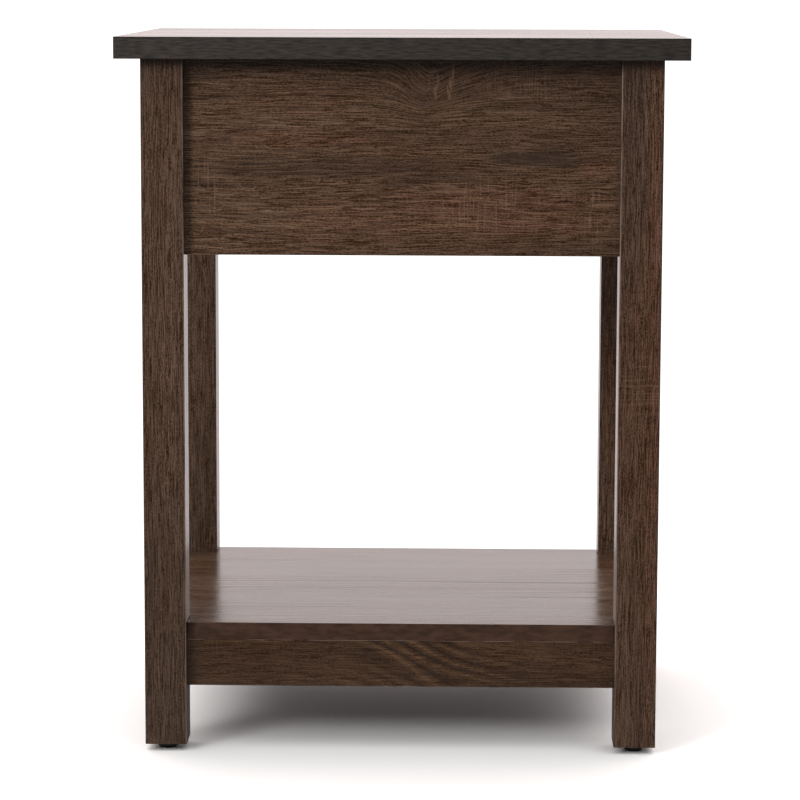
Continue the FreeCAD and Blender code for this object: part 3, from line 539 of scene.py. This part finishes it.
def piece_tree(name, sizes):
    """A tree that takes points, sizes by name and a material, and its inputs."""
    tree = bpy.data.node_groups.new(name, "GeometryNodeTree")
    tree.interface.new_socket("Geometry", in_out="INPUT", socket_type="NodeSocketGeometry")
    for label, value in sizes.items():
        kind = "NodeSocketInt" if isinstance(value, int) else "NodeSocketFloat"
        tree.interface.new_socket(label, in_out="INPUT", socket_type=kind)
    tree.interface.new_socket("Material", in_out="INPUT", socket_type="NodeSocketMaterial")
    tree.interface.new_socket("Geometry", in_out="OUTPUT", socket_type="NodeSocketGeometry")
    return tree, add(tree, "NodeGroupInput").outputs


def half_of(tree, value):
    """Half of a value, such as a radius from a diameter."""
    return calc(tree, "MULTIPLY", value, 0.5)


def minus(tree, value):
    """A value with its sign turned."""
    return calc(tree, "MULTIPLY", value, -1.0)


def by_index(tree, values):
    """A value for each point of a line, by the point's number."""
    made = add(tree, "GeometryNodeIndexSwitch", data_type="FLOAT")
    while len(made.index_switch_items) < len(values):
        made.index_switch_items.new()
    feed(tree, made.inputs[0], add(tree, "GeometryNodeInputIndex").outputs[0])
    for number, value in enumerate(values):
        feed(tree, made.inputs[number + 1], value)
    return made.outputs[0]


def circle(tree, points):
    """A flat ring of radius 1 with a number of points."""
    return add(tree, "GeometryNodeCurvePrimitiveCircle", {"Resolution": points, "Radius": 1.0}).outputs[0]


def lathe(tree, steps, profile=None, points=24):
    """A turned solid from its heights and radii, round or with a profile of radius 1."""
    line = add(tree, "GeometryNodeCurvePrimitiveLine").outputs[0]
    path = add(tree, "GeometryNodeResampleCurve", {"Curve": line, "Count": len(steps)}).outputs[0]
    heights, radii = zip(*steps)
    rise = vector_of(tree, Z=by_index(tree, heights))
    path = add(tree, "GeometryNodeSetPosition", {"Geometry": path, "Position": rise}).outputs[0]
    ring = profile or circle(tree, points)
    inputs = {"Curve": path, "Profile Curve": ring, "Scale": by_index(tree, radii), "Fill Caps": True}
    return add(tree, "GeometryNodeCurveToMesh", inputs).outputs[0]


def set_out(tree, given, piece):
    """A piece on every point, its Z along the point's axis and its X to the point's side, in its finish."""
    axis, side = (
        add(tree, "GeometryNodeInputNamedAttribute", {"Name": name}, data_type="FLOAT_VECTOR").outputs[0]
        for name in ("axis", "side"))
    turn = add(tree, "FunctionNodeAxesToRotation", {0: axis, 1: side}, primary_axis="Z", secondary_axis="X")
    any_turn = add(tree, "FunctionNodeRandomValue", {2: 0.0, 3: given["Turn"], "Seed": given["Seed"]})
    spin = add(tree, "FunctionNodeAxisAngleToRotation", {"Axis": (0, 0, 1), "Angle": any_turn.outputs[1]})
    inputs = {0: turn.outputs[0], 1: spin.outputs[0]}
    turn = add(tree, "FunctionNodeRotateRotation", inputs, rotation_space="LOCAL")
    inputs = {"Points": given["Geometry"], "Instance": piece, "Rotation": turn.outputs[0]}
    spread = add(tree, "GeometryNodeInstanceOnPoints", inputs).outputs[0]
    whole = add(tree, "GeometryNodeRealizeInstances", {"Geometry": spread}).outputs[0]
    inputs = {"Geometry": whole, "Material": given["Material"]}
    add(tree, "NodeGroupOutput", {0: add(tree, "GeometryNodeSetMaterial", inputs).outputs[0]})


def make(name, body, slot, tree, sizes, points, *nodes):
    """Runs a tree on points with an axis and a side, and puts the mesh it makes in place of CAD nodes."""
    cloud = bpy.data.meshes.new(name)
    cloud.from_pydata([place for place, axis, side in points], [], [])
    for number, label in ((1, "axis"), (2, "side")):
        values = [value for point in points for value in point[number]]
        cloud.attributes.new(label, "FLOAT_VECTOR", "POINT").data.foreach_set("vector", values)
    holder = bpy.data.objects.new(name + ".points", cloud)
    bpy.context.scene.collection.objects.link(holder)
    modifier = holder.modifiers.new("pieces", "NODES")
    modifier.node_group = tree
    for item in tree.interface.items_tree:
        if item.in_out == "INPUT" and item.name in sizes:
            modifier[item.identifier] = sizes[item.name]
    graph = bpy.context.evaluated_depsgraph_get()
    mesh = bpy.data.meshes.new_from_object(holder.evaluated_get(graph), depsgraph=graph)
    mesh.materials.clear()
    mesh.materials.append(sizes["Material"])
    holder.modifiers.remove(modifier)
    bpy.data.objects.remove(holder)
    piece = bpy.data.objects.new(name, mesh)
    bpy.context.scene.collection.objects.link(piece)
    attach(piece, body)
    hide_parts(*nodes)


def wood(name, dark, light, fibres_per_metre, roughness):
    """Plain wood or fibre: soft clouds and short fine fibres."""
    material, tree, shader, place = finish(name)
    cloud = waves(tree, place, (25, 25, 25), detail=2.0)
    fibres = waves(tree, place, fibres_per_metre, detail=3.0)
    tone = summed(tree, 0.0, (cloud, 0.3), (fibres, 0.7))
    shade = mixed(tree, between(tree, tone, 0.36, 0.64), dark, light)
    coat(tree, shader, shade, summed(tree, roughness, (fibres, 0.15)), fibres, depth=0.00003)
    return material


DOWEL = {"Diameter": 0.008, "Length": 0.03, "Chamfer": 0.0009, "Flutes": 16, "Flute Depth": 0.00035,
         "Turn": FULL_TURN, "Seed": 3}
POINTS_PER_FLUTE = 4.0
tree, given = piece_tree("fluted_dowel", DOWEL)
radius = half_of(tree, given["Diameter"])
ring = circle(tree, calc(tree, "MULTIPLY", given["Flutes"], POINTS_PER_FLUTE))
way_round = add(tree, "GeometryNodeSplineParameter").outputs["Factor"]
angle = calc(tree, "MULTIPLY", calc(tree, "MULTIPLY", way_round, 2 * math.pi), given["Flutes"])
groove = calc(tree, "MULTIPLY_ADD", calc(tree, "COSINE", angle), 0.5, 0.5)
sink = calc(tree, "MULTIPLY", groove, calc(tree, "DIVIDE", given["Flute Depth"], radius))
spot = add(tree, "GeometryNodeInputPosition").outputs[0]
fluted = scaled(tree, spot, calc(tree, "SUBTRACT", 1.0, sink))
ring = add(tree, "GeometryNodeSetPosition", {"Geometry": ring, "Position": fluted}).outputs[0]
end = half_of(tree, given["Length"])
shoulder = calc(tree, "SUBTRACT", end, given["Chamfer"])
nose = calc(tree, "SUBTRACT", radius, given["Chamfer"])
steps = [(minus(tree, end), nose), (minus(tree, shoulder), radius), (shoulder, radius), (end, nose)]
set_out(tree, given, lathe(tree, steps, ring))
beech = wood("pressed_beech", paint(186, 146, 106), paint(212, 176, 136),
             fibres_per_metre=(500, 500, 160), roughness=0.5)
for name, body, node in (("fluted_dowels", "case", "dowels"),
                         ("drawer_fluted_dowels", "drawer", "drawer_dowels")):
    points = [(middle, axis, any_side(axis)) for middle, axis, length in stations(node, max, 1)]
    make(name, body, "beech", tree, DOWEL | {"Material": beech}, points, node)

# Cam bolts
# Plated steel bolts with a coarse thread for particle board, a collar, a shank and a head on a thin neck.
# The thread end is screwed into one board and the head reaches into the cam in the next.


POINTS_PER_TURN = 14
RIDGE_POINTS = 3


def thread(tree, core, crest, start, length, pitch):
    """A coarse thread wound on a core from a height upwards."""
    turns = calc(tree, "DIVIDE", length, pitch)
    inputs = {"Resolution": POINTS_PER_TURN, "Rotations": turns, "Start Radius": core, "End Radius": core,
              "Height": length}
    helix = add(tree, "GeometryNodeCurveSpiral", inputs).outputs[0]
    ridge = circle(tree, RIDGE_POINTS)
    rise = calc(tree, "SUBTRACT", crest, core)
    inputs = {"Curve": helix, "Profile Curve": ridge, "Scale": rise, "Fill Caps": True}
    wound = add(tree, "GeometryNodeCurveToMesh", inputs).outputs[0]
    inputs = {"Geometry": wound, "Translation": vector_of(tree, Z=start)}
    return add(tree, "GeometryNodeTransform", inputs).outputs[0]


def joined(tree, *parts):
    """Parts joined in one piece."""
    whole = add(tree, "GeometryNodeJoinGeometry")
    for part in parts:
        tree.links.new(part, whole.inputs[0])
    return whole.outputs[0]


BOLT = {"Bite": 0.01, "Thread": 0.006, "Pitch": 0.0022, "Point": 0.0012, "Collar": 0.0076,
        "Collar Length": 0.002, "Shank": 0.0056, "Neck": 0.004, "Neck Length": 0.005, "Head": 0.0064,
        "Head Length": 0.004, "Head Chamfer": 0.0006, "Length": 0.036, "Turn": FULL_TURN, "Seed": 5}
CORE_SHARE = 0.7
NIB_SHARE = 0.6
tree, given = piece_tree("cam_bolt", BOLT)
thread_radius, collar_radius, shank_radius, neck_radius, head_radius = (
    half_of(tree, given[label]) for label in ("Thread", "Collar", "Shank", "Neck", "Head"))
bite, point, end = (given[label] for label in ("Bite", "Point", "Length"))
core = calc(tree, "MULTIPLY", thread_radius, CORE_SHARE)
nib = calc(tree, "MULTIPLY", core, NIB_SHARE)
collar_end = calc(tree, "ADD", bite, given["Collar Length"])
head_start = calc(tree, "SUBTRACT", end, given["Head Length"])
neck_start = calc(tree, "SUBTRACT", head_start, given["Neck Length"])
head_edge = calc(tree, "SUBTRACT", end, given["Head Chamfer"])
head_top = calc(tree, "SUBTRACT", head_radius, given["Head Chamfer"])
steps = [(0.0, nib), (point, core), (bite, core), (bite, collar_radius), (collar_end, collar_radius),
         (collar_end, shank_radius), (neck_start, shank_radius), (neck_start, neck_radius),
         (head_start, neck_radius), (head_start, head_radius), (head_edge, head_radius), (end, head_top)]
wound_length = calc(tree, "SUBTRACT", bite, calc(tree, "MULTIPLY", point, 2.0))
winding = thread(tree, core, thread_radius, point, wound_length, given["Pitch"])
set_out(tree, given, joined(tree, lathe(tree, steps), winding))
bolt_points = {}
for name, body, node in (("threaded_cam_bolts", "case", "cam_bolts"),
                         ("drawer_threaded_bolts", "drawer", "drawer_cam_bolts")):
    bolts = stations(node, max, 1)
    points = [(middle + axis * length / 2, -axis, any_side(axis)) for middle, axis, length in bolts]
    bolt_points[node] = bolts
    sizes = BOLT | {"Length": bolts[0][2], "Material": bright_steel}
    make(name, body, "plated_steel", tree, sizes, points, node)

# Cam locks
# Die-cast zinc drums flush with the boards' inner faces, with a crossed slot for the driver and an arrow
# that points at the bolt. The side toward the bolt is open for the bolt's head.


def cut(tree, solid, *cutters):
    """A solid with other solids taken out of it."""
    inputs = {"Mesh 1": solid, "Self Intersection": True}
    tool = add(tree, "GeometryNodeMeshBoolean", inputs, operation="DIFFERENCE", solver="EXACT")
    for cutter in cutters:
        tree.links.new(cutter, tool.inputs["Mesh 2"])
    return tool.outputs[0]


def cross(tree, length, width, height):
    """Two crossed bars centred on the origin."""
    sizes = (vector_of(tree, X=x, Y=y, Z=height) for x, y in ((length, width), (width, length)))
    return [add(tree, "GeometryNodeMeshCube", {"Size": size}).outputs[0] for size in sizes]


CAM = {"Diameter": 0.015, "Depth": 0.0122, "Rim": 0.0005, "Slot Length": 0.007, "Slot Width": 0.0014,
       "Slot Depth": 0.0015, "Throat": 0.007, "Throat Depth": 0.0075, "Throat End": 0.0021, "Arrow": 0.0016,
       "Arrow Height": 0.0008, "Turn": 0.0, "Seed": 1}
ARROW_PLACE = 0.62
THROAT_ABOVE_FLOOR = 0.0047
tree, given = piece_tree("cam_lock", CAM)
radius = half_of(tree, given["Diameter"])
top_radius = calc(tree, "SUBTRACT", radius, given["Rim"])
steps = [(minus(tree, given["Depth"]), radius), (minus(tree, given["Rim"]), radius), (0.0, top_radius)]
drum = lathe(tree, steps)
slot_height = calc(tree, "MULTIPLY", given["Slot Depth"], 2.0)
slots = cross(tree, given["Slot Length"], given["Slot Width"], slot_height)
throat_radius = half_of(tree, given["Throat"])
steps = [(minus(tree, given["Throat End"]), throat_radius), (given["Diameter"], throat_radius)]
throat = lathe(tree, steps)
drop = vector_of(tree, Z=minus(tree, given["Throat Depth"]))
inputs = {"Geometry": throat, "Rotation": (0, math.radians(90), 0), "Translation": drop}
throat = add(tree, "GeometryNodeTransform", inputs).outputs[0]
inputs = {"Vertices": 3, "Radius": given["Arrow"], "Depth": given["Arrow Height"]}
arrow = add(tree, "GeometryNodeMeshCylinder", inputs).outputs["Mesh"]
ahead = vector_of(tree, X=calc(tree, "MULTIPLY", radius, ARROW_PLACE))
arrow = add(tree, "GeometryNodeTransform", {"Geometry": arrow, "Translation": ahead}).outputs[0]
set_out(tree, given, cut(tree, drum, *slots, throat, arrow))
cast_zinc = plated("cast_zinc", paint(190, 191, 193), paint(150, 151, 154), roughness=0.36,
                   marks_per_metre=(900, 900, 900))
for name, body, node, bolt_node, outward in (
        ("slotted_cams", "case", "cam_locks", "cam_bolts", -1),
        ("drawer_slotted_cams", "drawer", "drawer_cam_locks", "drawer_cam_bolts", 1)):
    cams = stations(node, min, outward)
    points = []
    for middle, axis, length in cams:
        near = min(bolt_points[bolt_node], key=lambda bolt: (bolt[0] - middle).length)
        points.append((middle + axis * length / 2, axis, near[1]))
    depth = cams[-1][2]
    sizes = CAM | {"Depth": depth, "Throat Depth": depth - THROAT_ABOVE_FLOOR, "Material": cast_zinc}
    make(name, body, "zinc", tree, sizes, points, node)

# Case runners
# White powder-coated steel channels screwed to the side panels, each with a nylon roller on a riveted pin
# in front. The screws are countersunk with a crossed recess.


def enamel(name, white, shade, roughness):
    """Powder coat: a faint orange-peel skin over even paint."""
    material, tree, shader, place = finish(name)
    cloud = waves(tree, place, (30, 30, 30), detail=2.0)
    peel = waves(tree, place, (700, 700, 700))
    colour = mixed(tree, between(tree, cloud, 0.3, 0.7), white, shade)
    coat(tree, shader, colour, summed(tree, roughness, (cloud, 0.1)), peel, depth=0.00003)
    return material


SCREW = {"Diameter": 0.0032, "Head": 0.0064, "Head Rim": 0.0001, "Head Height": 0.0016, "Fillet": 0.0001,
         "Length": 0.011, "Tip": 0.003, "Point": 0.0002, "Pitch": 0.0013, "Turn": FULL_TURN, "Seed": 7}
SCREW_CORE_SHARE = 0.72
RECESS_SHARES = (0.56, 0.12, 0.34)
screw_tree, given = piece_tree("crossed_screw", SCREW)
radius = half_of(screw_tree, given["Diameter"])
head_radius = half_of(screw_tree, given["Head"])
core = calc(screw_tree, "MULTIPLY", radius, SCREW_CORE_SHARE)
neck = calc(screw_tree, "ADD", given["Head Height"], given["Fillet"])
tip_start = calc(screw_tree, "SUBTRACT", given["Length"], given["Tip"])
steps = [(0.0, head_radius), (given["Head Rim"], head_radius), (given["Head Height"], radius), (neck, core),
         (tip_start, core), (given["Length"], given["Point"])]
recess = cross(screw_tree, *[calc(screw_tree, "MULTIPLY", given["Head"], share) for share in RECESS_SHARES])
solid = cut(screw_tree, lathe(screw_tree, steps), *recess)
wound_length = calc(screw_tree, "SUBTRACT", tip_start, neck)
winding = thread(screw_tree, core, radius, neck, wound_length, given["Pitch"])
set_out(screw_tree, given, joined(screw_tree, solid, winding))


def screws(name, body, node, outward, sizes):
    """Screws in place of a CAD node's, driven outward or up, or the reverse with -1."""
    found = stations(node, max, outward)
    points = [(middle - axis * length / 2, axis, any_side(axis)) for middle, axis, length in found]
    sizes = SCREW | sizes | {"Length": found[0][2], "Material": bright_steel}
    make(name, body, "plated_steel", screw_tree, sizes, points, node)


white_enamel = enamel("white_powder_coat", paint(228, 227, 222), paint(218, 217, 211), roughness=0.3)
natural_nylon = moulded("natural_nylon", paint(222, 219, 208), paint(208, 204, 190), roughness=0.34)
dress(white_enamel, *[f"case_runner_{side}" for side in sides])
dress(natural_nylon, *[f"{part}_roller_{side}" for part in ("case", "drawer") for side in sides])
dress(bright_steel, "case_roller_pins", "drawer_roller_pins")
screws("case_runner_crossed_screws", "case", "case_runner_screws", 1, {})

# Drawer front
# A printed board set between the legs under the top, with its grain running across, like the back panel.
# Dowels and cams fix it to the drawer's sides, and its grain bends round one knot near the lower edge.

FRONT_SHEET = {"Swirl": 0.012}
FRONT_KNOTS = [(0.07, 0.44, 0.026, -0.016)]
front_finish = laminate("walnut_drawer_front", ALONG_X, move=(0.9, 0.7, 0.55), sheet=FRONT_SHEET,
                        knots=FRONT_KNOTS)
dress(front_finish, "drawer_front")

# Drawer box
# Sides and back of thinner board in plain dark-brown laminate, with the back screwed between the sides.
# The bottom is hardboard with a dark printed face. It slides in grooves and is screwed up into the back.

plain_board = wood("plain_brown_laminate", paint(60, 45, 37), paint(70, 54, 45),
                   fibres_per_metre=(120, 120, 400), roughness=0.42)
dress(plain_board, "drawer_side_left", "drawer_side_right", "drawer_back")
hardboard = wood("dark_hardboard", paint(66, 50, 40), paint(82, 63, 51),
                 fibres_per_metre=(700, 90, 700), roughness=0.5)
dress(hardboard, "drawer_bottom")
BACK_SCREW = {"Diameter": 0.005, "Head": 0.0086, "Head Height": 0.0018, "Tip": 0.007, "Pitch": 0.0022}
BOTTOM_SCREW = {"Diameter": 0.003, "Head": 0.006, "Head Height": 0.0015, "Tip": 0.004, "Pitch": 0.0013}
screws("drawer_back_crossed_screws", "drawer", "drawer_back_screws", -1, BACK_SCREW)
screws("drawer_bottom_crossed_screws", "drawer", "drawer_bottom_screws", 1, BOTTOM_SCREW)

# Drawer runners
# White powder-coated steel angles under the lower edges of the drawer's sides, screwed on from outside.
# Each has a roller at its back end that runs in the case's channel.

dress(white_enamel, *[f"drawer_runner_{side}" for side in sides])
screws("drawer_runner_crossed_screws", "drawer", "drawer_runner_screws", -1, {})

# Knob
# A plain round knob turned from zinc and plated in brushed nickel, with fine tool marks round its axis.
# A machine screw from inside the drawer draws it to the front.

MACHINE_SCREW = {"Diameter": 0.004, "Head": 0.008, "Head Rim": 0.0023, "Head Height": 0.0024, "Tip": 0.0004,
                 "Pitch": 0.0007}
material, tree, shader, place = finish("brushed_nickel")
shader.inputs["Metallic"].default_value = 1.0
low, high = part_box("drawer_knob")
away = vector_calc(tree, "SUBTRACT", place, (low + high) / 2)
ring = number_of(tree, "LENGTH", vector_calc(tree, "MULTIPLY", away, (1, 0, 1)))
turned = vector_of(tree, X=ring, Y=parts_of(tree, away)["Y"])
tool_marks = waves(tree, turned, (3500, 3500, 1), detail=2.0)
shade = mixed(tree, between(tree, tool_marks, 0.3, 0.7), paint(176, 171, 164), paint(198, 194, 187))
coat(tree, shader, shade, summed(tree, 0.22, (tool_marks, 0.14)), tool_marks, depth=0.00001)
dress(material, "drawer_knob")
screws("knob_machine_screw", "drawer", "knob_screw", 1, MACHINE_SCREW)

# Floor, light and camera
# A pale studio floor that fades into white, a white cloth behind the piece, a broad light above it,
# a low soft box in front on one side and a weaker one on the other.

FLOOR_HALF = 2.5
FLOOR_FADE = (0.85, 0.4)
FLOOR_MIDDLE = (0, -0.15, 0)
FLOOR_ROUGHNESS = 0.7
FLOOR_SHADES = (paint(246, 245, 243), paint(251, 250, 249))
FLOOR_BOUNCE = paint(150, 149, 147)
scene = bpy.context.scene
floor_mesh = bpy.data.meshes.new("studio_floor")
floor_corners = [(x * FLOOR_HALF, y * FLOOR_HALF, 0) for x, y in ((-1, -1), (1, -1), (1, 1), (-1, 1))]
floor_mesh.from_pydata(floor_corners, [], [(0, 1, 2, 3)])
floor = bpy.data.objects.new("studio_floor", floor_mesh)
scene.collection.objects.link(floor)
material, tree, shader, place = finish("pale_floor")
pale = mixed(tree, waves(tree, place, (2, 2, 2), detail=2.0), *FLOOR_SHADES)
seen = add(tree, "ShaderNodeLightPath").outputs["Is Camera Ray"]
tree.links.new(mixed(tree, seen, FLOOR_BOUNCE, pale), shader.inputs["Base Color"])
far = number_of(tree, "LENGTH", vector_calc(tree, "SUBTRACT", place, FLOOR_MIDDLE))
tree.links.new(between(tree, far, *FLOOR_FADE), shader.inputs["Alpha"])
shader.inputs["Roughness"].default_value = FLOOR_ROUGHNESS
floor_mesh.materials.append(material)

CLOTH_EDGE = (0.1, -0.5)
CEILING_EDGE = (0.3, 0.8)
CLOTH_GLOW = 1.05
CEILING_GLOW = 1.4
ROOM_GLOW = 0.2
WHITE = (1, 1, 1, 1)
CLOTH_TINT = paint(255, 246, 246)
scene.view_settings.view_transform = "Standard"
world = bpy.data.worlds.new("studio")
scene.world = world
world.use_nodes = True
tree = world.node_tree
tree.nodes.clear()
heading = parts_of(tree, add(tree, "ShaderNodeTexCoord").outputs["Generated"])
cloth = between(tree, heading["Y"], *CLOTH_EDGE)
ceiling = between(tree, heading["Z"], *CEILING_EDGE)
glow = summed(tree, ROOM_GLOW, (ceiling, CEILING_GLOW), (cloth, CLOTH_GLOW))
seen = add(tree, "ShaderNodeLightPath").outputs["Is Camera Ray"]
tint = mixed(tree, calc(tree, "SUBTRACT", cloth, seen), WHITE, CLOTH_TINT)
inputs = {"Color": tint, "Strength": calc(tree, "MAXIMUM", glow, seen)}
background = add(tree, "ShaderNodeBackground", inputs)
add(tree, "ShaderNodeOutputWorld", {"Surface": background.outputs[0]})

LIGHT_TARGET = Vector((0, 0, 0.6))


def soft_box(name, place, size, power, beam):
    """Square area light with a grid that keeps its beam to an angle, aimed at the top."""
    light = bpy.data.lights.new(name, "AREA")
    light.size = size
    light.energy = power
    light.spread = math.radians(beam)
    box = bpy.data.objects.new(name, light)
    box.location = place
    box.rotation_euler = (LIGHT_TARGET - Vector(place)).to_track_quat("-Z", "Y").to_euler()
    scene.collection.objects.link(box)


soft_box("key_box", (1.6, 2.2, 1.5), size=1.0, power=4.2, beam=40)
soft_box("fill_box", (-1.8, 2.0, 1.3), size=1.2, power=0.45, beam=50)

FOCAL_LENGTH = 138.8
CAMERA_PLACE = (-0.0489, 2.7201, 0.6512)
CAMERA_DEGREES = (82.134, -0.179, 181.147)
lens = bpy.data.cameras.new("photo_camera")
lens.lens = FOCAL_LENGTH
camera = bpy.data.objects.new("photo_camera", lens)
camera.location = CAMERA_PLACE
camera.rotation_euler = [math.radians(angle) for angle in CAMERA_DEGREES]
scene.collection.objects.link(camera)
scene.camera = camera
